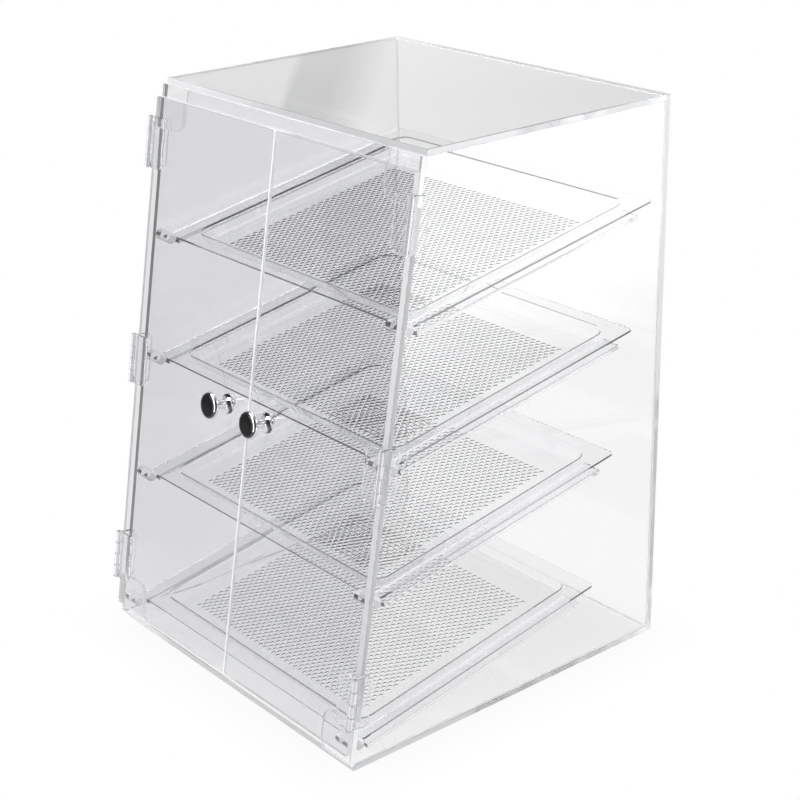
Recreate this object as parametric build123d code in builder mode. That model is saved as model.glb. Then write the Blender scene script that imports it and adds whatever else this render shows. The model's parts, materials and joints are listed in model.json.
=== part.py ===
from build123d import *
from math import atan2, cos, degrees, radians, sin, tan
import os

os.makedirs("parts", exist_ok=True)

# Countertop bread display bin: a clear acrylic case whose front leans back, with two
# hinged doors and four lift-out trays that slope down to the doors.
# Millimetres, +Z up, +X to the right as seen from the doors, +Y to the back.
# The origin is the middle of the case's footprint, on the counter.

# Case
case_width = 350
case_depth = 350
case_height = 500
panel_sheet = 5
front_lean = 10  # degrees from upright, top edge further back

# Plates across the front corners, and the header between the upper two
plate_sheet = 4
plate_size = 38
plate_round = 10
header_height = 13

# Doors
door_sheet = 5
door_foot = 15  # from the counter up the slope to the doors' lower edges
door_head = 16  # from the top of the slope down to the doors' upper edges
door_corner = 2
door_gap = 1.6  # between the two doors' meeting edges
door_clearance = 0.3  # between a door and the plates or hinge leaves beside it

# Hinges, three to a door
hinge_length = 45
hinge_foot = 25  # from a door's lower edge to its lowest hinge
hinge_head = 18  # from a door's upper edge to its highest hinge
leaf_sheet = 2.5
leaf_width = 19  # from the pin's axis to the leaf's far edge
leaf_corner = 4
barrel_radius = 3
barrel_clearance = 0.4  # between a barrel and the other leaf
knuckle_count = 4
knuckle_gap = 0.3
pin_radius = 1.25
pin_clearance = 0.05
pin_overhang = 0.5  # past the barrel at each end

# Knobs
knob_inset = 27.5  # from a door's meeting edge to the knob's axis
knob_projection = 22
rose_radius = 8.7
rose_rim = 1.2
rose_knee = (5.5, 3.2)  # radius and height where the rose's flare steepens
neck_radius = 4
neck_span = (6.5, 13)  # heights of the neck's plain stretch
head_knee = (6, 16.5)  # radius and height where the head's flare opens out
head_radius = 12
head_rim = 3.2
head_bevel = 0.9
inlay_radius = 10.6
inlay_depth = 1.2
inlay_clearance = 0.05
screw_radius = 2
screw_reach = 9  # of the screw's hole into the knob
screw_end_gap = 0.5
screw_hole_clearance = 0.1
screw_head_radius = 3.6
screw_head_height = 2.2
screw_slot_width = 1
screw_slot_depth = 1

# Trays
tray_side_gap = 5  # between a tray and the case's sides
tray_back_gap = 4.18  # between the top tray and the back panel
tray_sheet = 3
tray_corner = 12
tray_tilt = 10.2  # degrees, back edge higher
rim_side = 20
rim_front = 17
rim_rear = 14
pan_depth = 13
pan_corner = 11
pan_draft = 3  # that each wall leans in from rim to floor
pan_bevel = 2.5  # round the pan's floor, inside
lowest_tray = 20.5  # height of the lowest tray's front edge
lowest_pitch = 122  # from the lowest tray to the next
tray_pitch = 110  # between the upper trays

# Rails and stop pegs on the case's sides
rail_width = 17
rail_sheet = 4
rail_setback = 1.5  # of the rails' front ends behind the trays' front edges
rail_end_gap = 23.5  # from the rails' rear ends to the trays' rear edges
tray_clearance = 0.3
peg_radius = 5.2
peg_length = 17
peg_front_gap = 0.3  # between a peg and the sloping front
peg_lift = 1  # of the pegs' axes above the trays' rims

lean = radians(front_lean)
slope_length = case_height / cos(lean)
inner_width = case_width - 2 * panel_sheet
back_inner_y = case_depth / 2 - panel_sheet
top_underside = (case_height - panel_sheet) / cos(lean)  # up the slope
base_top = panel_sheet / cos(lean)  # up the slope

# Sloping front of the case: local X is the case's X, local Y runs up the slope, Z faces out.
front = Plane(
    origin=(0, -case_depth / 2, 0), x_dir=(1, 0, 0), z_dir=(0, -cos(lean), sin(lean))
)
door_back = plate_sheet + door_clearance
door_face = door_back + door_sheet
door_bottom = door_foot
door_top = slope_length - door_head
door_middle = (door_bottom + door_top) / 2
door_outer_x = case_width / 2 - door_clearance
door_inner_x = door_gap / 2
door_width = door_outer_x - door_inner_x

pin_x = case_width / 2 + leaf_sheet
pin_reach = door_face + leaf_sheet  # of the pins' axes in front of the sloping front
hinge_tops = {
    "upper": door_top - hinge_head,
    "middle": door_middle + hinge_length / 2,
    "lower": door_bottom + hinge_foot + hinge_length,
}
knob_x = door_inner_x + knob_inset

sides = {"left": -1, "right": 1}


def export(part, name):
    part.label = name
    export_step(part, f"parts/{name}.step")


def front_y(height):
    """Y of the sloping front at a height above the counter."""
    return height * tan(lean) - case_depth / 2


def rung(rise):
    """Plane square to the front's slope, looking down it: local Y is how far in front."""
    return Plane(
        origin=front.from_local_coords((0, rise, 0)),
        x_dir=front.x_dir,
        z_dir=-front.y_dir,
    )


# ---- Case -------------------------------------------------------------------------------


def slanted_slab(low_z, high_z):
    """Level panel between the side faces, its front edge cut to the sloping front."""
    with BuildPart() as slab:
        with BuildSketch(Plane.YZ.offset(-case_width / 2)):
            with BuildLine():
                Polyline(
                    (front_y(low_z), low_z),
                    (back_inner_y, low_z),
                    (back_inner_y, high_z),
                    (front_y(high_z), high_z),
                    close=True,
                )
            make_face()
        extrude(amount=case_width)
    return slab.part


export(slanted_slab(0, panel_sheet), "base_panel")
export(slanted_slab(case_height - panel_sheet, case_height), "top_panel")

with BuildPart() as back_panel:
    with BuildSketch(Plane.XZ.offset(-case_depth / 2)):
        with Locations((0, case_height / 2)):
            Rectangle(case_width, case_height)
    extrude(amount=panel_sheet)
export(back_panel.part, "back_panel")

for side_name, side in sides.items():
    low_z = panel_sheet
    high_z = case_height - panel_sheet
    outer_x = side * case_width / 2
    with BuildPart() as side_panel:
        with BuildSketch(Plane.YZ.offset(outer_x)):
            with BuildLine():
                Polyline(
                    (front_y(low_z), low_z),
                    (back_inner_y, low_z),
                    (back_inner_y, high_z),
                    (front_y(high_z), high_z),
                    close=True,
                )
            make_face()
        extrude(amount=-side * panel_sheet)
    export(side_panel.part, f"{side_name}_side_panel")

# ---- Corner plates and header -----------------------------------------------------------

plate_spans = {
    "upper": (top_underside - plate_size, top_underside),
    "lower": (base_top, base_top + plate_size),
}
for level, (low, high) in plate_spans.items():
    for side_name, side in sides.items():
        middle_x = side * (case_width - plate_size) / 2
        inner_x = side * (case_width / 2 - plate_size)
        free_y = low if level == "upper" else high
        with BuildPart() as corner_plate:
            with BuildSketch(front) as outline:
                with Locations((middle_x, (low + high) / 2)):
                    Rectangle(plate_size, plate_size)
                free_corner = outline.vertices().sort_by_distance((inner_x, free_y))[0]
                fillet(free_corner, plate_round)
            extrude(amount=plate_sheet)
        export(corner_plate.part, f"{level}_{side_name}_corner_plate")

header_end = case_width / 2 - plate_size
with BuildPart() as header_strip:
    with BuildSketch(front):
        with Locations((0, top_underside - header_height / 2)):
            Rectangle(2 * header_end, header_height)
    extrude(amount=plate_sheet)
export(header_strip.part, "header_strip")

# ---- Doors ------------------------------------------------------------------------------

for side_name, side in sides.items():
    with BuildPart() as door:
        with BuildSketch(front.offset(door_back)):
            with Locations((side * (door_outer_x + door_inner_x) / 2, door_middle)):
                RectangleRounded(door_width, door_top - door_bottom, door_corner)
            with Locations((side * knob_x, door_middle)):
                Circle(screw_radius + screw_hole_clearance, mode=Mode.SUBTRACT)
        extrude(amount=door_sheet)
    export(door.part, f"{side_name}_door")

# ---- Hinges -----------------------------------------------------------------------------
# Each is two moulded leaves on one steel pin. The case leaf lies on the side panel and the
# door leaf on the door's face, and their knuckles take turns along the barrel.

knuckle_pitch = hinge_length / knuckle_count
leaf_end = barrel_radius + barrel_clearance  # a flat leaf stops this short of the pin's axis
leaf_reach = leaf_width - leaf_end


def side_face(side):
    """Plane on a side's outer face: local X runs up the slope, side * local Y to the front."""
    return Plane(
        origin=front.from_local_coords((side * case_width / 2, 0, 0)),
        x_dir=front.y_dir,
        z_dir=side * front.x_dir,
    )


def knuckle(rise, side, web_x, web_n):
    """Profile of a knuckle whose top is at a rise, with its web back to a leaf."""
    with BuildSketch(rung(rise)) as profile:
        with Locations((side * (web_x + pin_x) / 2, (web_n + pin_reach) / 2)):
            Rectangle(pin_x - web_x, pin_reach - web_n)
        with Locations((side * pin_x, pin_reach)):
            Circle(barrel_radius)
            Circle(pin_radius + pin_clearance, mode=Mode.SUBTRACT)
    return profile.sketch


for side_name, side in sides.items():
    far_edge = 0 if side > 0 else -1  # of a leaf, in its sketch's own directions
    for level, top in hinge_tops.items():
        hinge = f"{side_name}_{level}_hinge"
        middle = top - hinge_length / 2
        knuckle_tops = [
            top - index * knuckle_pitch - knuckle_gap / 2 for index in range(knuckle_count)
        ]

        with BuildPart() as case_leaf:
            with BuildSketch(side_face(side)) as outline:
                with Locations((middle, side * (pin_reach - leaf_end - leaf_reach / 2))):
                    Rectangle(hinge_length, leaf_reach)
                fillet(outline.vertices().group_by(Axis.Y)[far_edge], leaf_corner)
            extrude(amount=leaf_sheet)
            for rise in knuckle_tops[0::2]:
                profile = knuckle(rise, side, case_width / 2, pin_reach - leaf_end)
                extrude(profile, amount=knuckle_pitch - knuckle_gap)
        export(case_leaf.part, f"{hinge}_case_leaf")

        with BuildPart() as door_leaf:
            with BuildSketch(front.offset(door_face)) as outline:
                with Locations((side * (pin_x - leaf_end - leaf_reach / 2), middle)):
                    Rectangle(leaf_reach, hinge_length)
                fillet(outline.vertices().group_by(Axis.X)[far_edge], leaf_corner)
            extrude(amount=leaf_sheet)
            for rise in knuckle_tops[1::2]:
                profile = knuckle(rise, side, pin_x - leaf_end, door_face)
                extrude(profile, amount=knuckle_pitch - knuckle_gap)
        export(door_leaf.part, f"{hinge}_door_leaf")

        with BuildPart() as pin:
            with BuildSketch(rung(top + pin_overhang)):
                with Locations((side * pin_x, pin_reach)):
                    Circle(pin_radius)
            extrude(amount=hinge_length + 2 * pin_overhang)
        export(pin.part, f"{hinge}_pin")

# ---- Knobs ------------------------------------------------------------------------------
# A turned knob with a flared rose, a glossy inlay in its face, and a slotted screw from
# inside the door. Each profile is a radius against a height above the door's face.

rim_low = knob_projection - head_rim
inlay_seat = knob_projection - inlay_depth

for side_name, side in sides.items():
    turning = Plane(
        origin=front.from_local_coords((side * knob_x, door_middle, door_face)),
        x_dir=front.x_dir,
        z_dir=-front.y_dir,
    )
    knob_axis = Axis(turning.origin, turning.y_dir)

    with BuildPart() as knob:
        with BuildSketch(turning) as outline:
            with BuildLine():
                Polyline(
                    (0, screw_reach),
                    (screw_radius + screw_hole_clearance, screw_reach),
                    (screw_radius + screw_hole_clearance, 0),
                    (rose_radius, 0),
                    (rose_radius, rose_rim),
                    rose_knee,
                    (neck_radius, neck_span[0]),
                    (neck_radius, neck_span[1]),
                    head_knee,
                    (head_radius, rim_low),
                    (head_radius, knob_projection),
                    (inlay_radius, knob_projection),
                    (inlay_radius, inlay_seat),
                    (0, inlay_seat),
                    close=True,
                )
            make_face()
            rim = outline.vertices().sort_by_distance((head_radius, knob_projection))[0]
            chamfer(rim, head_bevel)
        revolve(axis=knob_axis)
    export(knob.part, f"{side_name}_knob")

    with BuildPart() as inlay:
        with BuildSketch(front.offset(door_face + inlay_seat)):
            with Locations((side * knob_x, door_middle)):
                Circle(inlay_radius - inlay_clearance)
        extrude(amount=inlay_depth)
    export(inlay.part, f"{side_name}_knob_inlay")

    with BuildPart() as screw:
        with BuildSketch(turning):
            with BuildLine():
                Polyline(
                    (0, -door_sheet - screw_head_height),
                    (0, screw_reach - screw_end_gap),
                    (screw_radius, screw_reach - screw_end_gap),
                    (screw_radius, -door_sheet),
                    (screw_head_radius, -door_sheet),
                    (screw_head_radius, -door_sheet - screw_head_height),
                    close=True,
                )
            make_face()
        revolve(axis=knob_axis)
        with BuildSketch(front.offset(door_back - screw_head_height)):
            with Locations((side * knob_x, door_middle)):
                Rectangle(2 * screw_head_radius, screw_slot_width)
        extrude(amount=screw_slot_depth, mode=Mode.SUBTRACT)
    export(screw.part, f"{side_name}_knob_screw")

# ---- Trays, rails and stop pegs ---------------------------------------------------------
# A tray is one moulded sheet: a level rim round a drafted pan. Its rim lies on two rails,
# and a peg at each front corner keeps it from sliding down into the doors.

tray_setback = 2 * peg_radius + tray_clearance + peg_front_gap  # behind the sloping front
top_tray_height = lowest_tray + lowest_pitch + 2 * tray_pitch
top_tray_front = front_y(top_tray_height) + tray_setback / cos(lean)
tilt = radians(tray_tilt)
tray_width = inner_width - 2 * tray_side_gap
tray_length = (back_inner_y - tray_back_gap - top_tray_front) / cos(tilt)
rail_length = tray_length - rail_setback - rail_end_gap
pan_width = tray_width - 2 * rim_side
pan_length = tray_length - rim_front - rim_rear
pan_taper = degrees(atan2(pan_draft, pan_depth))
rail_drop = tray_sheet + tray_clearance

tray_heights = {
    "bottom": lowest_tray,
    "lower": lowest_tray + lowest_pitch,
    "upper": lowest_tray + lowest_pitch + tray_pitch,
    "top": top_tray_height,
}


def tray_plane(height):
    """Plane of a tray's rim, from its front edge: local Y runs up to the back."""
    return Plane(
        origin=(0, front_y(height) + tray_setback / cos(lean), height),
        x_dir=(1, 0, 0),
        z_dir=(0, -sin(tilt), cos(tilt)),
    )


def pan_mouth(plane, wall):
    """Outline of the pan in its rim's plane, larger than its inside by a wall."""
    with BuildSketch(plane) as outline:
        with Locations((0, rim_front + pan_length / 2)):
            RectangleRounded(pan_width + 2 * wall, pan_length + 2 * wall, pan_corner + wall)
    return outline.sketch


for level, height in tray_heights.items():
    plane = tray_plane(height)
    normal = Axis(plane.origin, plane.z_dir)
    with BuildPart() as tray:
        with BuildSketch(plane):
            with Locations((0, tray_length / 2)):
                RectangleRounded(tray_width, tray_length, tray_corner)
        extrude(amount=-tray_sheet)
        extrude(pan_mouth(plane, tray_sheet), amount=-pan_depth - tray_sheet, taper=pan_taper)
        extrude(pan_mouth(plane, 0), amount=-pan_depth, taper=pan_taper, mode=Mode.SUBTRACT)
        heights = tray.edges().group_by(normal)
        chamfer(heights[0], pan_bevel + tray_sheet / 2)
        chamfer(heights[1], pan_bevel)
    export(tray.part, f"{level}_tray")

    for side_name, side in sides.items():
        side_x = side * inner_width / 2
        with BuildPart() as rail:
            with BuildSketch(plane.offset(-rail_drop)):
                with Locations((side_x - side * rail_width / 2, rail_setback + rail_length / 2)):
                    Rectangle(rail_width, rail_length)
            extrude(amount=-rail_sheet)
        export(rail.part, f"{level}_{side_name}_rail")

        peg_centre = plane.from_local_coords((0, -peg_radius - tray_clearance, peg_lift))
        with BuildPart() as peg:
            with BuildSketch(Plane.YZ.offset(side_x)):
                with Locations((peg_centre.Y, peg_centre.Z)):
                    Circle(peg_radius)
            extrude(amount=-side * peg_length)
        export(peg.part, f"{level}_{side_name}_stop_peg")
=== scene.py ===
import json
from math import atan2, cos, radians, sin, sqrt, tau

import bmesh
import bpy
from mathutils import Matrix, Quaternion, Vector

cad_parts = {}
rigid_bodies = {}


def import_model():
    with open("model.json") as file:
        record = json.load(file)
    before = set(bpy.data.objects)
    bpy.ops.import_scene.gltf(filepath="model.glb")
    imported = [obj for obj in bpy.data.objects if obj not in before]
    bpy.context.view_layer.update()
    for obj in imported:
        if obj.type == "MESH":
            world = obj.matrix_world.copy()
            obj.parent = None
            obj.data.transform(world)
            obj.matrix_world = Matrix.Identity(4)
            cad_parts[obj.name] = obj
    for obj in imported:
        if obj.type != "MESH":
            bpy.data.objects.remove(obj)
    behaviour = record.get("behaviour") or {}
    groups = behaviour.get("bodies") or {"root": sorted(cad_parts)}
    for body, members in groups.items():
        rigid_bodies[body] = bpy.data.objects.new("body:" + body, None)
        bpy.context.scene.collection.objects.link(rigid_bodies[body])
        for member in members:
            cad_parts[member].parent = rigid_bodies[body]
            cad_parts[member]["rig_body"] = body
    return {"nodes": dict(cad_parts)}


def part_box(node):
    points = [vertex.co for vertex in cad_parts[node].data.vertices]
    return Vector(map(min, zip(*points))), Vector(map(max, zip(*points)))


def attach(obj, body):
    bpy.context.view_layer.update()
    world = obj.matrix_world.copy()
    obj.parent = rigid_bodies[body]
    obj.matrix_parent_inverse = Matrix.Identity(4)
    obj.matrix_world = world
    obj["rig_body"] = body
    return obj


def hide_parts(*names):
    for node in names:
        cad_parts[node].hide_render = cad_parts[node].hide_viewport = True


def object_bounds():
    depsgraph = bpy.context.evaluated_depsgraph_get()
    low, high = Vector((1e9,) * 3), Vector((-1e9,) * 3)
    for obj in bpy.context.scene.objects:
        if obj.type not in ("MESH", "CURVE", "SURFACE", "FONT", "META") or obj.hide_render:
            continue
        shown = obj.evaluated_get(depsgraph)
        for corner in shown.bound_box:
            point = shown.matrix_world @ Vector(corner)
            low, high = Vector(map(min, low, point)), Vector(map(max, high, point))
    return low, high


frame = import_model()
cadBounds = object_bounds()
nodes = frame["nodes"]
mm = 0.001

sides = ["left", "right"]
shelves = ["bottom", "lower", "upper", "top"]
hingePlaces = ["upper", "middle", "lower"]
slopeLean = radians(10)  # the front leans back this far
slopeOut = Vector((0, -cos(slopeLean), sin(slopeLean)))
sharpAngle = radians(30)  # edges that turn more than this stay crisp


def addObject(name, mesh, *materials):
    obj = bpy.data.objects.new(name, mesh)
    bpy.context.scene.collection.objects.link(obj)
    for material in materials:
        mesh.materials.append(material)
    return obj


def meshFrom(bm, name):
    for face in bm.faces:
        face.smooth = True
    for edge in bm.edges:
        edge.smooth = edge.is_manifold and edge.calc_face_angle(0) < sharpAngle
    mesh = bpy.data.meshes.new(name)
    bm.to_mesh(mesh)
    bm.free()
    return mesh


def addNode(tree, kind, values=None, **options):
    node = tree.nodes.new(kind)
    for name, value in options.items():
        setattr(node, name, value)
    for name, value in (values or {}).items():
        node.inputs[name].default_value = value
    return node


def mathNode(tree, operation, first, second=None, clamp=False):
    node = addNode(tree, "ShaderNodeMath", operation=operation, use_clamp=clamp)
    for socket, value in zip(node.inputs, (first, second)):
        if value is None:
            continue
        if isinstance(value, (int, float)):
            socket.default_value = value
        else:
            tree.links.new(value, socket)
    return node.outputs[0]


def stepNode(tree, value, start, end, low=0.0, high=1.0):
    node = addNode(
        tree,
        "ShaderNodeMapRange",
        {"From Min": start, "From Max": end, "To Min": low, "To Max": high},
        clamp=True,
    )
    tree.links.new(value, node.inputs["Value"])
    return node.outputs["Result"]


def mixValues(tree, share, first, second):
    node = addNode(tree, "ShaderNodeMix", data_type="FLOAT")
    for socket, value in zip((node.inputs["A"], node.inputs["B"]), (first, second)):
        if isinstance(value, (int, float)):
            socket.default_value = value
        else:
            tree.links.new(value, socket)
    tree.links.new(share, node.inputs["Factor"])
    return node.outputs["Result"]


def newMaterial(name):
    material = bpy.data.materials.new(name)
    material.use_nodes = True
    tree = material.node_tree
    tree.nodes.clear()
    output = addNode(tree, "ShaderNodeOutputMaterial")
    return material, tree, output


def newGroup(name, inputs, outputs):
    group = bpy.data.node_groups.new(name, "ShaderNodeTree")
    for socketName, kind, value in inputs:
        socket = group.interface.new_socket(socketName, in_out="INPUT", socket_type=kind)
        socket.default_value = value
    for socketName, kind in outputs:
        group.interface.new_socket(socketName, in_out="OUTPUT", socket_type=kind)
    return group, addNode(group, "NodeGroupInput"), addNode(group, "NodeGroupOutput")


def placeGroup(tree, group, values):
    node = addNode(tree, "ShaderNodeGroup", node_tree=group)
    for name, value in values.items():
        node.inputs[name].default_value = value
    return node


cameraLook = {
    "place": (1.1589, -0.9196, 0.8302),
    "azimuth": 50.83,  # degrees round from straight in front
    "elevation": 22.29,  # degrees that it looks down
    "roll": -1.226,
    "lens": 80.81,
    "sensor": 36.0,
}


def makeCamera(look):
    azimuth = radians(look["azimuth"])
    elevation = radians(look["elevation"])
    ahead = Vector(
        (-sin(azimuth) * cos(elevation), cos(azimuth) * cos(elevation), -sin(elevation))
    )
    data = bpy.data.cameras.new("camera")
    data.lens = look["lens"]
    data.sensor_width = look["sensor"]
    camera = bpy.data.objects.new("camera", data)
    bpy.context.scene.collection.objects.link(camera)
    camera.location = look["place"]
    camera.rotation_mode = "QUATERNION"
    unrolled = ahead.to_track_quat("-Z", "Y")
    camera.rotation_quaternion = unrolled @ Quaternion((0, 0, 1), radians(look["roll"]))
    bpy.context.scene.camera = camera
    print("camera placed")


makeCamera(cameraLook)


skyLook = {
    "light": 1.0,  # on matt surfaces, from all round
    "roomMirrored": 0.04,  # the dim room on the doors' side
    "roomThrough": 0.7,  # and its tone through the case
    "roomStart": 0.12,  # where the backdrop ends, as a direction's Y
    "roomEnd": -0.2,
    "ceilingStart": 0.1,  # as a direction's Z
    "ceilingEnd": 0.22,
    "ceilingLeft": 0.6,  # left of the fold
    "ceilingMiddle": 0.7,
    "ceilingRight": 0.42,
    "ceilingFade": 12,  # degrees from the middle tone to the right one
    "fold": 0.29,  # a dark fold above the backdrop
    "foldSide": 53.7,  # its sharper side, in degrees to the left of straight back
    "foldLean": 0.42,  # the slope of that side
    "foldHeight": 0.2,  # where the slope crosses foldSide, as a direction's Z
    "foldSoft": 0.35,  # degrees over which the sharper side fades
    "foldWidth": 1.3,  # degrees across the dark itself
    "foldFade": 1.5,  # degrees over which its other side fades
    "reflectedGlare": 3.0,  # a tall bright window in front of the case
    "windowMiddle": -0.18,  # as a direction's X
    "windowHalf": 0.26,
}


def makeSky(look):
    # a white backdrop behind the case, a dim room in front of it, and even light on matt things
    world = bpy.data.worlds.new("studio")
    bpy.context.scene.world = world
    world.use_nodes = True
    tree = world.node_tree
    tree.nodes.clear()
    output = addNode(tree, "ShaderNodeOutputWorld")
    path = addNode(tree, "ShaderNodeLightPath")
    place = addNode(tree, "ShaderNodeTexCoord")
    axes = addNode(tree, "ShaderNodeSeparateXYZ")
    tree.links.new(place.outputs["Generated"], axes.inputs[0])
    right, back, up = axes.outputs
    inRoom = stepNode(tree, back, look["roomStart"], look["roomEnd"])
    overhead = stepNode(tree, up, look["ceilingStart"], look["ceilingEnd"])
    turned = mathNode(tree, "ARCTAN2", mathNode(tree, "MULTIPLY", right, -1.0), back)
    rise = mathNode(tree, "SUBTRACT", up, look["foldHeight"])
    turned = mathNode(tree, "SUBTRACT", turned, mathNode(tree, "MULTIPLY", rise, look["foldLean"]))
    side = radians(look["foldSide"])
    dark = side - radians(look["foldWidth"])
    middle = dark - radians(look["foldFade"])
    fade = stepNode(tree, turned, middle - radians(look["ceilingFade"]), middle)
    tone = mixValues(tree, fade, look["ceilingRight"], look["ceilingMiddle"])
    tone = mixValues(tree, stepNode(tree, turned, middle, dark), tone, look["fold"])
    isLeft = stepNode(tree, turned, side, side + radians(look["foldSoft"]))
    ceiling = mixValues(tree, isLeft, tone, look["ceilingLeft"])
    backdrop = mixValues(tree, overhead, 1.0, ceiling)

    offWindow = mathNode(tree, "ABSOLUTE", mathNode(tree, "SUBTRACT", right, look["windowMiddle"]))
    inWindow = mathNode(tree, "LESS_THAN", offWindow, look["windowHalf"])
    room = mixValues(tree, inWindow, look["roomMirrored"], look["reflectedGlare"])
    mirrored = mixValues(tree, inRoom, backdrop, room)
    through = mixValues(tree, inRoom, backdrop, look["roomThrough"])

    seen = mixValues(tree, path.outputs["Is Transmission Ray"], mirrored, through)
    seen = mixValues(tree, path.outputs["Is Camera Ray"], seen, 1.0)
    strength = mixValues(tree, path.outputs["Is Diffuse Ray"], seen, look["light"])
    shine = addNode(tree, "ShaderNodeBackground", {"Color": (1, 1, 1, 1)})
    tree.links.new(strength, shine.inputs["Strength"])
    tree.links.new(shine.outputs[0], output.inputs["Surface"])


floorLook = {
    "near": (-1.1, -1.1),
    "far": (4.0, 4.0),
    "color": (0.93, 0.93, 0.935, 1),
    "roughness": 0.8,
    "paintedShadow": 0.93,  # painted shadow: the floor's tone under the case
    "paintedShadowFade": 0.045,  # and how far that fades out past the case
    "dim": 0.12,  # painted reflection: its dark tone where the doors mirror it, in front of the case
    "dimStart": -0.16,
    "dimEnd": -0.4,
    "reflectedGlare": 5.0,  # painted glow: its glare, seen only in reflections, where the case's right side mirrors it
    "glareStart": 0.72,
    "glareEnd": 1.1,
}


def makeFloor(look):
    near, far = Vector(look["near"]), Vector(look["far"])
    bm = bmesh.new()
    verts = bmesh.ops.create_grid(bm, x_segments=1, y_segments=1, size=0.5)["verts"]
    bmesh.ops.scale(bm, vec=(far.x - near.x, far.y - near.y, 1), verts=verts)
    middle = (near + far) / 2
    bmesh.ops.translate(bm, vec=(middle.x, middle.y, 0), verts=verts)
    material, tree, output = newMaterial("studio_floor")
    paint = addNode(
        tree,
        "ShaderNodeBsdfPrincipled",
        {"Base Color": look["color"], "Roughness": look["roughness"], "Specular IOR Level": 0.0},
    )
    # seen, it is as white as the backdrop, with a faint painted shadow where the case stands
    low, high = cadBounds
    place = addNode(tree, "ShaderNodeTexCoord")
    axes = addNode(tree, "ShaderNodeSeparateXYZ")
    tree.links.new(place.outputs["Object"], axes.inputs[0])
    under = []
    for axis in (0, 1):
        middle, half = (low[axis] + high[axis]) / 2, (high[axis] - low[axis]) / 2
        away = mathNode(tree, "ABSOLUTE", mathNode(tree, "SUBTRACT", axes.outputs[axis], middle))
        under.append(stepNode(tree, away, half + look["paintedShadowFade"], half - look["paintedShadowFade"]))
    shade = mathNode(tree, "MULTIPLY", *under)
    # painted reflections: for glossy rays the floor is dark in front of the case and glows to the
    # right of it
    dim = stepNode(tree, axes.outputs["Y"], look["dimStart"], look["dimEnd"])
    glare = stepNode(tree, axes.outputs["X"], look["glareStart"], look["glareEnd"])
    mirrored = mixValues(tree, glare, 1.0, look["reflectedGlare"])
    mirrored = mixValues(tree, dim, mirrored, look["dim"])
    glow = addNode(tree, "ShaderNodeEmission", {"Color": (1, 1, 1, 1)})
    path = addNode(tree, "ShaderNodeLightPath")
    straight = mixValues(tree, shade, 1.0, look["paintedShadow"])
    seen = mixValues(tree, path.outputs["Is Glossy Ray"], straight, mirrored)
    seen = mixValues(tree, path.outputs["Is Transmission Ray"], seen, straight)
    tree.links.new(seen, glow.inputs["Strength"])
    lit = addNode(tree, "ShaderNodeMixShader")
    tree.links.new(path.outputs["Is Diffuse Ray"], lit.inputs["Fac"])
    tree.links.new(glow.outputs[0], lit.inputs[1])
    tree.links.new(paint.outputs[0], lit.inputs[2])
    tree.links.new(lit.outputs[0], output.inputs["Surface"])
    floor = addObject("floor", meshFrom(bm, "floor"), material)


lampLook = {
    "key": {"place": (-1.0, -1.2, 2.2), "size": 1.0, "power": 16},
    "fill": {"place": (1.9, 1.4, 1.9), "size": 1.2, "power": 14},
}
lampAim = Vector((0, 0, 0.25))


def makeLamps(look):
    for name, values in look.items():
        data = bpy.data.lights.new(name, "AREA")
        data.size = values["size"]
        data.energy = values["power"]
        lamp = bpy.data.objects.new(name, data)
        bpy.context.scene.collection.objects.link(lamp)
        lamp.location = values["place"]
        towards = lampAim - Vector(values["place"])
        lamp.rotation_mode = "QUATERNION"
        lamp.rotation_quaternion = towards.to_track_quat("-Z", "Y")


pathLook = {"all": 48, "through": 40, "mirrored": 12, "alpha": 64, "matt": 3}


def setPaths(look):
    # a view through the case crosses twenty surfaces and more
    bpy.context.scene.view_settings.view_transform = "Standard"
    cycles = bpy.context.scene.cycles
    cycles.max_bounces = look["all"]
    cycles.transmission_bounces = look["through"]
    cycles.glossy_bounces = look["mirrored"]
    cycles.transparent_max_bounces = look["alpha"]
    cycles.diffuse_bounces = look["matt"]
    # matt faces inside the plastic are lit by the paths that find the sky themselves
    bpy.context.scene.world.cycles.sampling_method = "NONE"


makeSky(skyLook)
makeFloor(floorLook)
makeLamps(lampLook)
setPaths(pathLook)
print("stage and light set")


sawLook = {
    "edgeTilt": 0.6,  # a face whose normal has less than this of the way across is a cut edge
    "pitch": 2.8 * mm,  # from one mark of the saw to the next
    "sway": 5.0,  # how far the marks wander
    "swayDetail": 2.0,
    "sharp": (0.45, 0.8),  # the bands' values at which a mark starts and is full
    "patch": 40.0,
    "patchDetail": 1.0,
    "patchSteps": (0.35, 0.5),  # the noise's values at which a patch starts and is full
    "faintest": 0.3,  # a mark between the patches, against one in them
    "ends": 12 * mm,  # over which a marked stretch fades in and out
    "depth": 0.25 * mm,
    "relief": 0.5,
}


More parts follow.
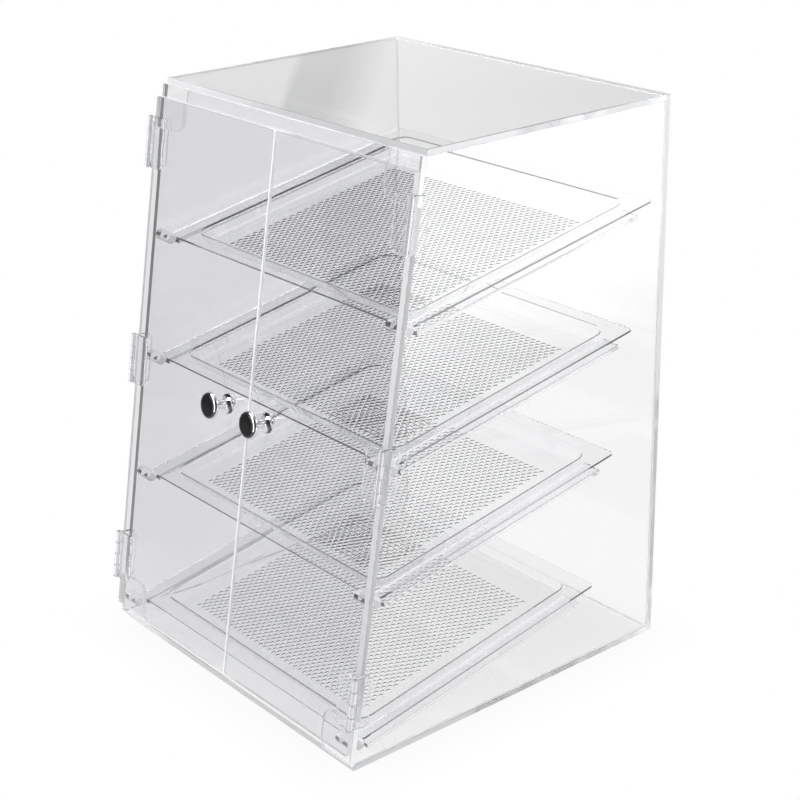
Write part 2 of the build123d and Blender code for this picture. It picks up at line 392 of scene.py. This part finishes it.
def makeSawnEdge(look):
    # a sheet's cut edges, and the saw's slanting marks along a stretch of them
    group, given, made = newGroup(
        "sawn edge",
        [
            ("Across", "NodeSocketVector", (0, 0, 1)),
            ("Along", "NodeSocketVector", (0, 1, 0)),
            ("From", "NodeSocketFloat", 0.0),
            ("To", "NodeSocketFloat", 0.2),
            ("Whole", "NodeSocketFloat", 0.0),
        ],
        [("Edge", "NodeSocketFloat"), ("Marks", "NodeSocketFloat")],
    )
    surface = addNode(group, "ShaderNodeNewGeometry")
    place = addNode(group, "ShaderNodeTexCoord")
    facing = addNode(group, "ShaderNodeVectorMath", operation="DOT_PRODUCT")
    group.links.new(surface.outputs["True Normal"], facing.inputs[0])
    group.links.new(given.outputs["Across"], facing.inputs[1])
    tilt = mathNode(group, "ABSOLUTE", facing.outputs["Value"])
    edge = mathNode(group, "LESS_THAN", tilt, look["edgeTilt"])
    bandScale = tau / 10 / look["pitch"]  # at a scale of 1 the bands lie a tenth of a turn apart
    bands = addNode(
        group,
        "ShaderNodeTexWave",
        {"Scale": bandScale, "Distortion": look["sway"], "Detail": look["swayDetail"]},
        wave_type="BANDS",
        bands_direction="DIAGONAL",
    )
    group.links.new(place.outputs["Object"], bands.inputs["Vector"])
    patches = addNode(
        group, "ShaderNodeTexNoise", {"Scale": look["patch"], "Detail": look["patchDetail"]}
    )
    group.links.new(place.outputs["Object"], patches.inputs["Vector"])
    patchy = stepNode(group, patches.outputs["Fac"], *look["patchSteps"], look["faintest"])
    reach = addNode(group, "ShaderNodeVectorMath", operation="DOT_PRODUCT")
    group.links.new(place.outputs["Object"], reach.inputs[0])
    group.links.new(given.outputs["Along"], reach.inputs[1])
    along = reach.outputs["Value"]
    passed = mathNode(group, "SUBTRACT", along, given.outputs["From"])
    left = mathNode(group, "SUBTRACT", given.outputs["To"], along)
    started = mathNode(group, "DIVIDE", passed, look["ends"], clamp=True)
    unended = mathNode(group, "DIVIDE", left, look["ends"], clamp=True)
    stretch = mathNode(group, "MULTIPLY", started, unended)
    sharp = stepNode(group, bands.outputs["Fac"], *look["sharp"])
    broken = mathNode(group, "MULTIPLY", sharp, patchy)
    cover = mathNode(group, "MAXIMUM", broken, given.outputs["Whole"])
    marks = mathNode(group, "MULTIPLY", cover, stretch)
    group.links.new(edge, made.inputs["Edge"])
    group.links.new(marks, made.inputs["Marks"])
    return group


clearLook = {
    "bend": 1.49,  # the plastic's index of refraction
    "shade": 0.985,  # how much of a lamp's light each face lets by
}
waveLook = {"scale": 9.0, "detail": 1.0, "strength": 0.02, "height": 0.3 * mm}


def makeSlightWaves(look):
    # a cast or moulded face is never quite flat
    group, given, made = newGroup(
        "slight waves",
        [
            ("Scale", "NodeSocketFloat", look["scale"]),
            ("Strength", "NodeSocketFloat", look["strength"]),
        ],
        [("Normal", "NodeSocketVector")],
    )
    place = addNode(group, "ShaderNodeTexCoord")
    waves = addNode(group, "ShaderNodeTexNoise", {"Detail": look["detail"]})
    bump = addNode(group, "ShaderNodeBump", {"Distance": look["height"]})
    group.links.new(place.outputs["Object"], waves.inputs["Vector"])
    group.links.new(given.outputs["Scale"], waves.inputs["Scale"])
    group.links.new(given.outputs["Strength"], bump.inputs["Strength"])
    group.links.new(waves.outputs["Fac"], bump.inputs["Height"])
    group.links.new(bump.outputs["Normal"], made.inputs["Normal"])
    return group


def letLampsThrough(tree, shader, output):
    path = addNode(tree, "ShaderNodeLightPath")
    shade = clearLook["shade"]
    through = addNode(tree, "ShaderNodeBsdfTransparent", {"Color": (shade, shade, shade, 1)})
    lit = addNode(tree, "ShaderNodeMixShader")
    tree.links.new(path.outputs["Is Shadow Ray"], lit.inputs["Fac"])
    tree.links.new(shader, lit.inputs[1])
    tree.links.new(through.outputs[0], lit.inputs[2])
    tree.links.new(lit.outputs[0], output.inputs["Surface"])


# the plastic's own faint tint, darkened on some pieces as painted shade
def clearBody(tree, tintAndShade):
    return addNode(
        tree,
        "ShaderNodeBsdfPrincipled",
        {
            "Base Color": tintAndShade,
            "Roughness": 0.0,
            "IOR": clearLook["bend"],
            "Transmission Weight": 1.0,
        },
    )


def wavyClear(tree, tintAndShade):
    body = clearBody(tree, tintAndShade)
    waves = placeGroup(
        tree, slightWaves, {"Scale": waveLook["scale"], "Strength": waveLook["strength"]}
    )
    tree.links.new(waves.outputs["Normal"], body.inputs["Normal"])
    return body.outputs[0]


def makeClear(name, tintAndShade):
    material, tree, output = newMaterial(name)
    letLampsThrough(tree, wavyClear(tree, tintAndShade), output)
    return material


edgeLook = {
    "roughness": 0.35,
    "clear": 0.45,  # the rest is white haze
    "color": (0.84, 0.845, 0.86, 1),
    "marksAndHighlightColor": (0.3, 0.305, 0.32, 1),
}


def makeSheet(name, tintAndShade, marks, edge):
    # clear faces, and hazy cut edges with the saw's marks
    material, tree, output = newMaterial(name)
    sawn = placeGroup(tree, sawnEdge, marks)
    color = addNode(tree, "ShaderNodeMix", data_type="RGBA")
    color.inputs["A"].default_value = edge["color"]
    color.inputs["B"].default_value = edge["marksAndHighlightColor"]
    tree.links.new(sawn.outputs["Marks"], color.inputs["Factor"])
    cut = addNode(
        tree,
        "ShaderNodeBsdfPrincipled",
        {
            "Roughness": edge["roughness"],
            "IOR": clearLook["bend"],
            "Transmission Weight": edge["clear"],
        },
    )
    tree.links.new(color.outputs["Result"], cut.inputs["Base Color"])
    relief = addNode(
        tree, "ShaderNodeBump", {"Strength": sawLook["relief"], "Distance": sawLook["depth"]}
    )
    tree.links.new(sawn.outputs["Marks"], relief.inputs["Height"])
    tree.links.new(relief.outputs["Normal"], cut.inputs["Normal"])
    join = addNode(tree, "ShaderNodeMixShader")
    tree.links.new(sawn.outputs["Edge"], join.inputs["Fac"])
    tree.links.new(wavyClear(tree, tintAndShade), join.inputs[1])
    tree.links.new(cut.outputs[0], join.inputs[2])
    letLampsThrough(tree, join.outputs[0], output)
    return material


# across is the way through a sheet, and sawn is its marked stretch, in metres along its way along
upward, backward, sideways = (0, 0, 1), (0, 1, 0), (1, 0, 0)
# the doors' tint is darkened far below the plastic's own, as painted shade
doorSheet = {
    "tintAndShade": (0.852, 0.853, 0.866, 1),
    "across": tuple(slopeOut),
    "along": sideways,
    "sawn": (-0.02, 0.02),  # here the frosted cut edges where the doors meet are painted pure white all along, a painted highlight
    "whole": 1,
}
# one clear plastic throughout: past its own faint tint, each panel's tint is darkened as painted
# shade, most on the doors, the left side and the header; the left side's edges are painted lighter
# and the right door's darker
sheetLook = {
    "top": {
        "tintAndShade": (0.975, 0.977, 0.98, 1),
        "across": upward,
        "along": backward,
        "sawn": (0, 0.17),
    },
    "base": {
        "tintAndShade": (0.975, 0.977, 0.98, 1),
        "across": upward,
        "along": backward,
        "sawn": (-0.05, 0.16),
    },
    "back": {
        "tintAndShade": (0.985, 0.987, 0.99, 1),
        "across": backward,
        "along": upward,
        "sawn": (0, 0.24),
    },
    "leftSide": {
        "tintAndShade": (0.88, 0.88, 0.89, 1),
        "across": sideways,
        "along": upward,
        "sawn": (0, 0),
        "edge": {"color": (0.95, 0.95, 0.96, 1), "clear": 0.85},
    },
    "rightSide": {
        "tintAndShade": (0.955, 0.955, 0.958, 1),
        "across": sideways,
        "along": upward,
        "sawn": (0, 0),
    },
    # on the doors the marks' colour is white, and paints the highlight on the meeting edges
    "leftDoor": {**doorSheet, "edge": {"marksAndHighlightColor": (1, 1, 1, 1), "clear": 0.15}},
    "rightDoor": {
        **doorSheet,
        "edge": {"color": (0.6, 0.603, 0.615, 1), "marksAndHighlightColor": (1, 1, 1, 1), "clear": 0.15},
    },
    "plate": {
        "tintAndShade": (0.985, 0.985, 0.99, 1),
        "across": tuple(slopeOut),
        "along": sideways,
        "sawn": (0, 0),
    },
    "header": {
        "tintAndShade": (0.905, 0.905, 0.915, 1),
        "across": tuple(slopeOut),
        "along": sideways,
        "sawn": (0.07, 0.15),
    },
}


def makeSheets(look):
    sheets = {}
    for name, values in look.items():
        start, end = values["sawn"]
        marks = {
            "Across": values["across"],
            "Along": values["along"],
            "From": start,
            "To": end,
            "Whole": values.get("whole", 0),
        }
        edge = {**edgeLook, **values.get("edge", {})}
        sheets[name] = makeSheet(f"{name} sheet", values["tintAndShade"], marks, edge)
    return sheets


sawnEdge = makeSawnEdge(sawLook)
slightWaves = makeSlightWaves(waveLook)
sheetPaint = makeSheets(sheetLook)
sheetOf = {
    "base_panel": "base",
    "top_panel": "top",
    "back_panel": "back",
    "left_side_panel": "leftSide",
    "right_side_panel": "rightSide",
    "header_strip": "header",
    "left_door": "leftDoor",
    "right_door": "rightDoor",
}
for corner in ("upper_left", "upper_right", "lower_left", "lower_right"):
    sheetOf[f"{corner}_corner_plate"] = "plate"


finishLook = {
    "weld": 0.01 * mm,
    "joint": 0.012 * mm,  # keeps a clear piece's faces apart from those of the pieces it touches
    "arris": 0.35 * mm,
    "arrisSegments": 2,
    "arrisAngle": 35,
}


def finishNode(name, material, look=finishLook):
    obj = nodes[name]
    obj.data.materials.clear()
    obj.data.materials.append(material)
    weld = obj.modifiers.new("weld", "WELD")
    weld.merge_threshold = look["weld"]
    joint = obj.modifiers.new("joint", "DISPLACE")
    joint.mid_level = 0
    joint.strength = -look["joint"]
    arris = obj.modifiers.new("arris", "BEVEL")
    arris.width = look["arris"]
    arris.segments = look["arrisSegments"]
    arris.limit_method = "ANGLE"
    arris.angle_limit = radians(look["arrisAngle"])


def smoothCopy(name, material, joint=0):
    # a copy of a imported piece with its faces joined, so that round ones look round
    bm = bmesh.new()
    bm.from_mesh(nodes[name].data)
    bmesh.ops.remove_doubles(bm, verts=bm.verts, dist=finishLook["weld"])
    bm.normal_update()
    for vert in bm.verts:
        vert.co -= vert.normal * joint
    copy = addObject(f"{name}_smooth", meshFrom(bm, name), material)
    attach(copy, nodes[name]["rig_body"])
    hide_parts(name)


for node, paint in sheetOf.items():
    finishNode(node, sheetPaint[paint])
print("sheets painted")


trayLook = {
    "width": 330 * mm,
    "length": 270 * mm,
    "corner": 4 * mm,
    "sheet": 1.8 * mm,
    "tilt": 10.2,  # degrees, up to the back
    "rimSide": 20 * mm,
    "rimFront": 17 * mm,
    "rimRear": 14 * mm,
    "panCorner": 11 * mm,
    "panDepth": 13 * mm,
    "panDraft": 3 * mm,
    "lipRound": 2.8 * mm,  # more than the sheet, or its underside would fold over itself
    "floorRound": 4 * mm,
    "margin": 0.6 * mm,  # keeps the flats and walls straight up to the curves beside them
    "panShare": 0.45,  # the pan's sheet against the rim's: moulding stretches it
    "cornerSegments": 8,
    "roundSegments": 4,
    "level": 0.03 * mm,  # faces that drop less than this belong to the rim
}
holeLook = {
    "radius": 2.2 * mm,
    "sidesOfHole": 8,
    "pitch": 6.55 * mm,
    "rowPitch": 4.2 * mm,
    "columns": 37,
    "rows": 46,
    "firstRow": 35 * mm,  # from the rim's front edge
    "weld": 0.03 * mm,
}


def roundedOutline(bm, width, length, middle, drop, radius, segments):
    # the edges of a flat outline with four round corners
    before = set(bm.faces)
    corners = bmesh.ops.create_grid(bm, x_segments=1, y_segments=1, size=0.5)["verts"]
    bmesh.ops.scale(bm, vec=(width, length, 1), verts=corners)
    bmesh.ops.translate(bm, vec=(0, middle, -drop), verts=corners)
    bmesh.ops.bevel(
        bm,
        geom=corners,
        offset=radius,
        affect="VERTICES",
        segments=segments,
        profile=0.5,  # round
        material=-1,  # none of its own
    )
    faces = [face for face in bm.faces if face not in before]
    edges = [edge for edge in {e for f in faces for e in f.edges} if edge.is_boundary]
    bmesh.ops.delete(bm, geom=faces, context="FACES_ONLY")
    return edges


def panStations(look):
    # how far each ring of the pan lies outside its rim's inner edge, and how far down
    wall = Vector((look["panDraft"], look["panDepth"])).normalized()
    turn = look["roundSegments"]
    slant = wall.x  # of the wall's face towards the pan
    lip, floor = look["lipRound"], look["floorRound"]
    lipMiddle = lip * (1 - slant) / wall.y
    floorMiddle = -(floor + slant * (look["panDepth"] - floor)) / wall.y
    lean = radians(90) - Vector((0, 1)).angle(wall)
    upper, lower = [], []
    for step in range(turn + 1):
        angle = radians(90) + lean * step / turn
        upper.append((lipMiddle + lip * cos(angle), lip - lip * sin(angle)))
        angle = -radians(90) + lean * (turn - step) / turn
        depth = look["panDepth"] - floor
        lower.append((floorMiddle + floor * cos(angle), depth - floor * sin(angle)))
    margin, down = look["margin"], Vector((-wall.x, wall.y)) * look["margin"]
    rimEnd = (upper[0][0] + margin, 0)
    wallEnds = [Vector(upper[-1]) + down, Vector(lower[0]) - down]
    floorEnd = (lower[-1][0] - margin, look["panDepth"])
    return [rimEnd, *upper, *wallEnds, *lower, floorEnd]


def makeHoleField(bm, look, drop):
    # one hole in its square of sheet, copied into rows, every other one shifted by half a pitch
    pitch, rowPitch = look["pitch"], look["rowPitch"]
    grid = bmesh.ops.create_grid(bm, x_segments=2, y_segments=2, size=0.5)["verts"]
    bmesh.ops.scale(bm, vec=(pitch, rowPitch, 1), verts=grid)
    centre = [vert for vert in grid if vert.co.length < look["weld"]]
    bmesh.ops.delete(bm, geom=centre, context="VERTS")
    rim = [vert for vert in grid if vert.is_valid]
    frameEdges = list({edge for vert in rim for edge in vert.link_edges})
    hole = bmesh.ops.create_circle(
        bm, segments=look["sidesOfHole"], radius=look["radius"], cap_ends=False
    )["verts"]
    # a flat of the hole, and no corner of it, faces the next row
    bmesh.ops.rotate(bm, matrix=Matrix.Rotation(tau / 2 / look["sidesOfHole"], 3, "Z"), verts=hole)
    holeEdges = list({edge for vert in hole for edge in vert.link_edges})
    for edge in holeEdges:
        edge.seam = True
    ring = bmesh.ops.bridge_loops(bm, edges=frameEdges + holeEdges)
    cell = rim + hole + list({e for v in rim + hole for e in v.link_edges}) + ring["faces"]
    left = -(look["columns"] - 1) / 2 * pitch
    bmesh.ops.translate(bm, vec=(left - pitch / 4, look["firstRow"], -drop), verts=rim + hole)
    row = list(cell)
    for column in range(1, look["columns"]):
        copy = bmesh.ops.duplicate(bm, geom=cell)["geom"]
        verts = [item for item in copy if isinstance(item, bmesh.types.BMVert)]
        bmesh.ops.translate(bm, vec=(column * pitch, 0, 0), verts=verts)
        row += copy
    for line in range(1, look["rows"]):
        copy = bmesh.ops.duplicate(bm, geom=row)["geom"]
        verts = [item for item in copy if isinstance(item, bmesh.types.BMVert)]
        shift = pitch / 2 if line % 2 else 0
        bmesh.ops.translate(bm, vec=(shift, line * rowPitch, 0), verts=verts)
    bmesh.ops.remove_doubles(bm, verts=bm.verts, dist=look["weld"])


def makeTrayMesh(look, holes, rimIndex):
    # the moulding's upper face, with a paint of its own for the flat rim
    bm = bmesh.new()
    makeHoleField(bm, holes, look["panDepth"])
    fieldEdges = [edge for edge in bm.edges if edge.is_boundary and not edge.seam]
    panWidth = look["width"] - 2 * look["rimSide"]
    panLength = look["length"] - look["rimFront"] - look["rimRear"]
    middle = look["rimFront"] + panLength / 2
    turn = look["cornerSegments"]
    last = roundedOutline(
        bm, look["width"], look["length"], look["length"] / 2, 0, look["corner"], turn
    )
    for grow, drop in panStations(look):
        ring = roundedOutline(
            bm,
            panWidth + 2 * grow,
            panLength + 2 * grow,
            middle,
            drop,
            look["panCorner"] + grow,
            turn,
        )
        bmesh.ops.bridge_loops(bm, edges=last + ring)
        last = ring
    bmesh.ops.triangle_fill(bm, edges=fieldEdges + last, use_beauty=True, normal=(0, 0, 1))
    bmesh.ops.recalc_face_normals(bm, faces=bm.faces)
    if sum(face.normal.z * face.calc_area() for face in bm.faces) < 0:
        bmesh.ops.reverse_faces(bm, faces=bm.faces)
    for face in bm.faces:
        if min(vert.co.z for vert in face.verts) > -look["level"]:
            face.material_index = rimIndex
    return meshFrom(bm, "perforated tray")


mouldedLook = {
    "tintAndShade": (0.985, 0.987, 0.992, 1),
    # the rim's cut sides are a dark tint of the same plastic: a painted shade line along the
    # tray's outer edge
    "rimEdgeShade": (0.45, 0.455, 0.475, 1),
    "wallShade": (0.02, 0.02, 0.023, 1),
    "wallGloss": 0.1,
    "wallRoughness": 0.8,
}


def makeHoleWall(look):
    # a hole's wall is painted near black from the hole's side, as painted shade in the holes, and
    # clear from inside the sheet
    material, tree, output = newMaterial("hole walls painted dark")
    wall = addNode(
        tree,
        "ShaderNodeBsdfPrincipled",
        {
            "Base Color": look["wallShade"],
            "Roughness": look["wallRoughness"],
            "Specular IOR Level": look["wallGloss"],
        },
    )
    clear = clearBody(tree, look["tintAndShade"])
    surface = addNode(tree, "ShaderNodeNewGeometry")
    side = addNode(tree, "ShaderNodeMixShader")
    tree.links.new(surface.outputs["Backfacing"], side.inputs["Fac"])
    tree.links.new(wall.outputs[0], side.inputs[1])
    tree.links.new(clear.outputs[0], side.inputs[2])
    letLampsThrough(tree, side.outputs[0], output)
    return material


def placeTrays(look, paints, mesh):
    tilt = radians(look["tilt"])
    for level in shelves:
        low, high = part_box(f"{level}_tray")
        front = Vector((0, low.y, high.z - look["length"] * sin(tilt)))
        own = mesh.copy()
        own.transform(Matrix.Translation(front) @ Matrix.Rotation(tilt, 4, "X"))
        tray = addObject(f"{level}_perforated_tray", own, *paints)
        rim = tray.vertex_groups.new(name="rim")
        for vert in mesh.vertices:
            # the sheet thins from the lip's foot down to the floor
            thinned = min(0, vert.co.z + look["lipRound"]) / (look["panDepth"] - look["lipRound"])
            rim.add([vert.index], 1 + thinned, "REPLACE")
        sheet = tray.modifiers.new("sheet", "SOLIDIFY")
        sheet.thickness = look["sheet"]
        sheet.offset = -1
        sheet.vertex_group = "rim"
        sheet.thickness_vertex_group = look["panShare"]
        sheet.material_offset_rim = 1  # the sheet's cut sides take the paint after their face's
        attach(tray, f"{level}_tray")
        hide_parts(f"{level}_tray")


mouldedPaint = makeClear("moulded clear", mouldedLook["tintAndShade"])
trayPaint = {
    "pan": mouldedPaint,
    "hole walls painted dark": makeHoleWall(mouldedLook),
    "rim": mouldedPaint,
    "rim edge painted dark": makeClear("rim edge painted dark", mouldedLook["rimEdgeShade"]),
}
trayMesh = makeTrayMesh(trayLook, holeLook, list(trayPaint).index("rim"))
placeTrays(trayLook, trayPaint.values(), trayMesh)
print("trays made,", len(trayMesh.polygons), "faces each")


railLook = {"tintAndShade": (0.965, 0.968, 0.975, 1)}
railPaint = makeClear("rail clear", railLook["tintAndShade"])
for level in shelves:
    for side in sides:
        finishNode(f"{level}_{side}_rail", railPaint)
        smoothCopy(f"{level}_{side}_stop_peg", railPaint, finishLook["joint"])
print("rails and pegs painted")


polishLook = {"smears": 260.0, "detail": 3.0, "stretch": (1, 1, 3)}


def makeHandledPolish(look):
    # fingers and cloths leave a polish a little uneven, in smears
    group, given, made = newGroup(
        "handled polish",
        [("Roughness", "NodeSocketFloat", 0.1), ("Unevenness", "NodeSocketFloat", 0.5)],
        [("Roughness", "NodeSocketFloat")],
    )
    place = addNode(group, "ShaderNodeTexCoord")
    stretch = addNode(group, "ShaderNodeMapping", {"Scale": look["stretch"]})
    group.links.new(place.outputs["Object"], stretch.inputs["Vector"])
    smears = addNode(
        group, "ShaderNodeTexNoise", {"Scale": look["smears"], "Detail": look["detail"]}
    )
    group.links.new(stretch.outputs["Vector"], smears.inputs["Vector"])
    above = mathNode(group, "SUBTRACT", smears.outputs["Fac"], 0.5)  # than the noise's middle
    swing = mathNode(group, "MULTIPLY", above, given.outputs["Unevenness"])
    share = mathNode(group, "ADD", swing, 1.0)
    uneven = mathNode(group, "MULTIPLY", share, given.outputs["Roughness"])
    group.links.new(uneven, made.inputs["Roughness"])
    return group


metalLook = {
    "chrome": {"color": (0.9, 0.9, 0.91, 1), "roughness": 0.045, "unevenness": 2.5},
    "screw steel": {"color": (0.5, 0.5, 0.51, 1), "roughness": 0.25, "unevenness": 1.5},
    "pin steel": {"color": (0.72, 0.72, 0.74, 1), "roughness": 0.2, "unevenness": 1.5},
}
inlayLook = {
    "color": (0.012, 0.012, 0.014, 1),
    "roughness": 0.08,
    "unevenness": 2.0,
    "coat": 0.6,
    "coatRoughness": 0.02,
}


def makePolished(name, look, values):
    material, tree, output = newMaterial(name)
    body = addNode(tree, "ShaderNodeBsdfPrincipled", {"Base Color": look["color"], **values})
    polish = placeGroup(
        tree, handledPolish, {"Roughness": look["roughness"], "Unevenness": look["unevenness"]}
    )
    tree.links.new(polish.outputs["Roughness"], body.inputs["Roughness"])
    tree.links.new(body.outputs[0], output.inputs["Surface"])
    return material


handledPolish = makeHandledPolish(polishLook)
metalPaint = {
    name: makePolished(name, look, {"Metallic": 1.0}) for name, look in metalLook.items()
}
inlayCoat = {"Coat Weight": inlayLook["coat"], "Coat Roughness": inlayLook["coatRoughness"]}
inlayPaint = makePolished("black inlay", inlayLook, inlayCoat)


hingeLook = {"tintAndShade": (0.965, 0.968, 0.975, 1)}
hingePaint = makeClear("hinge clear", hingeLook["tintAndShade"])
for side in sides:
    for place in hingePlaces:
        hinge = f"{side}_{place}_hinge"
        for leaf in ("case_leaf", "door_leaf"):
            smoothCopy(f"{hinge}_{leaf}", hingePaint, finishLook["joint"])
        smoothCopy(f"{hinge}_pin", metalPaint["pin steel"])
    smoothCopy(f"{side}_knob_screw", metalPaint["screw steel"])
print("hinges and screws painted")


# a knob's radii, and its heights above the door, in millimetres
knobLook = {
    "boreRadius": 2.1,
    "boreTop": 9,
    "roseRadius": 8.7,
    "roseEdge": 0.3,
    "roseRim": 1.2,
    "roseHollow": 6.2,
    "neckRadius": 4,
    "neckLow": 6.6,
    "neckHigh": 12.6,
    "headHollow": 9.5,
    "headLow": 18.8,
    "headRadius": 12,
    "headRound": 2.5,
    "headTop": 22,
    "faceRadius": 9.4,  # of the hollow that the inlay lies in
    "faceFloor": 20.8,
    "inlayGap": 0.05,  # all round the inlay
    "inlayRim": 21.7,  # where its straight side ends
    "inlayRound": 1.08,
    "shoulderWidth": 0.9,
    "shoulder": 22.25,
    "crownRadius": 90,
    "crown": 22.5,
    "inlayMiddle": 21.4,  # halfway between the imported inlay's ends
    "hollowSteps": (10, 12),  # in the neck's foot and in the head
    "roundSteps": 6,
    "shoulderSteps": 5,
    "crownSteps": 10,
    "turns": 72,
    "weld": 0.001,
}


def arc(start, end, radius, steps):
    # points after the start, round a centre to the right of start to end, or left if radius < 0
    start, end = Vector(start), Vector(end)
    chord = end - start
    aside = Vector((chord.y, -chord.x)).normalized()
    height = sqrt(abs(radius) ** 2 - (chord.length / 2) ** 2)
    centre = (start + end) / 2 + aside * height * (1 if radius > 0 else -1)
    first = atan2(start.y - centre.y, start.x - centre.x)
    sweep = atan2(end.y - centre.y, end.x - centre.x) - first
    if sweep > tau / 2:
        sweep -= tau
    if sweep < -tau / 2:
        sweep += tau
    return [
        (
            centre.x + abs(radius) * cos(first + sweep * step / steps),
            centre.y + abs(radius) * sin(first + sweep * step / steps),
        )
        for step in range(1, steps + 1)
    ]


def knobProfile(look):
    bore, rose, neck, head = (look[f"{part}Radius"] for part in ("bore", "rose", "neck", "head"))
    footSteps, headSteps = look["hollowSteps"]
    points = [(0, look["boreTop"]), (bore, look["boreTop"]), (bore, 0)]
    points += [(rose - look["roseEdge"], 0), (rose, look["roseEdge"]), (rose, look["roseRim"])]
    points += arc(points[-1], (neck, look["neckLow"]), look["roseHollow"], footSteps)
    points += [(neck, look["neckHigh"])]
    points += arc(points[-1], (head, look["headLow"]), look["headHollow"], headSteps)
    points += [(head, look["headTop"] - look["headRound"])]
    brim = (head - look["headRound"], look["headTop"])
    points += arc(points[-1], brim, -look["headRound"], look["roundSteps"])
    points += [(look["faceRadius"], look["headTop"]), (look["faceRadius"], look["faceFloor"])]
    points += [(0, look["faceFloor"])]
    return points


def inlayProfile(look):
    edge = look["faceRadius"] - look["inlayGap"]
    shoulder = (edge - look["shoulderWidth"], look["shoulder"])
    points = [(0, look["faceFloor"]), (edge, look["faceFloor"]), (edge, look["inlayRim"])]
    points += arc(points[-1], shoulder, -look["inlayRound"], look["shoulderSteps"])
    points += arc(points[-1], (0, look["crown"]), -look["crownRadius"], look["crownSteps"])
    return points


def turned(name, profile, look, place, outward):
    bm = bmesh.new()
    verts = [bm.verts.new((radius * mm, 0, height * mm)) for radius, height in profile]
    edges = [bm.edges.new(pair) for pair in zip(verts, verts[1:])]
    bmesh.ops.spin(
        bm,
        geom=verts + edges,
        cent=(0, 0, 0),
        axis=(0, 0, 1),
        angle=tau,
        steps=look["turns"],
        use_merge=True,
    )
    bmesh.ops.remove_doubles(bm, verts=bm.verts, dist=look["weld"] * mm)
    bmesh.ops.recalc_face_normals(bm, faces=bm.faces)
    turn = outward.to_track_quat("Z", "Y").to_matrix().to_4x4()
    bmesh.ops.transform(bm, matrix=Matrix.Translation(place) @ turn, verts=bm.verts)
    return meshFrom(bm, name)


def placeKnobs(look):
    for side in sides:
        low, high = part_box(f"{side}_knob_inlay")
        foot = (low + high) / 2 - slopeOut * (look["inlayMiddle"] * mm)
        pieces = {
            "knob": (knobProfile(look), metalPaint["chrome"], "knob_chrome"),
            "knob_inlay": (inlayProfile(look), inlayPaint, "inlay_black"),
        }
        for piece, (profile, paint, slot) in pieces.items():
            name = f"{side}_{piece}"
            mesh = turned(f"{name}_turned", profile, look, foot, slopeOut)
            obj = addObject(f"{name}_turned", mesh, paint)
            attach(obj, f"{side}_door")
            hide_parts(name)


placeKnobs(knobLook)
print("knobs turned")
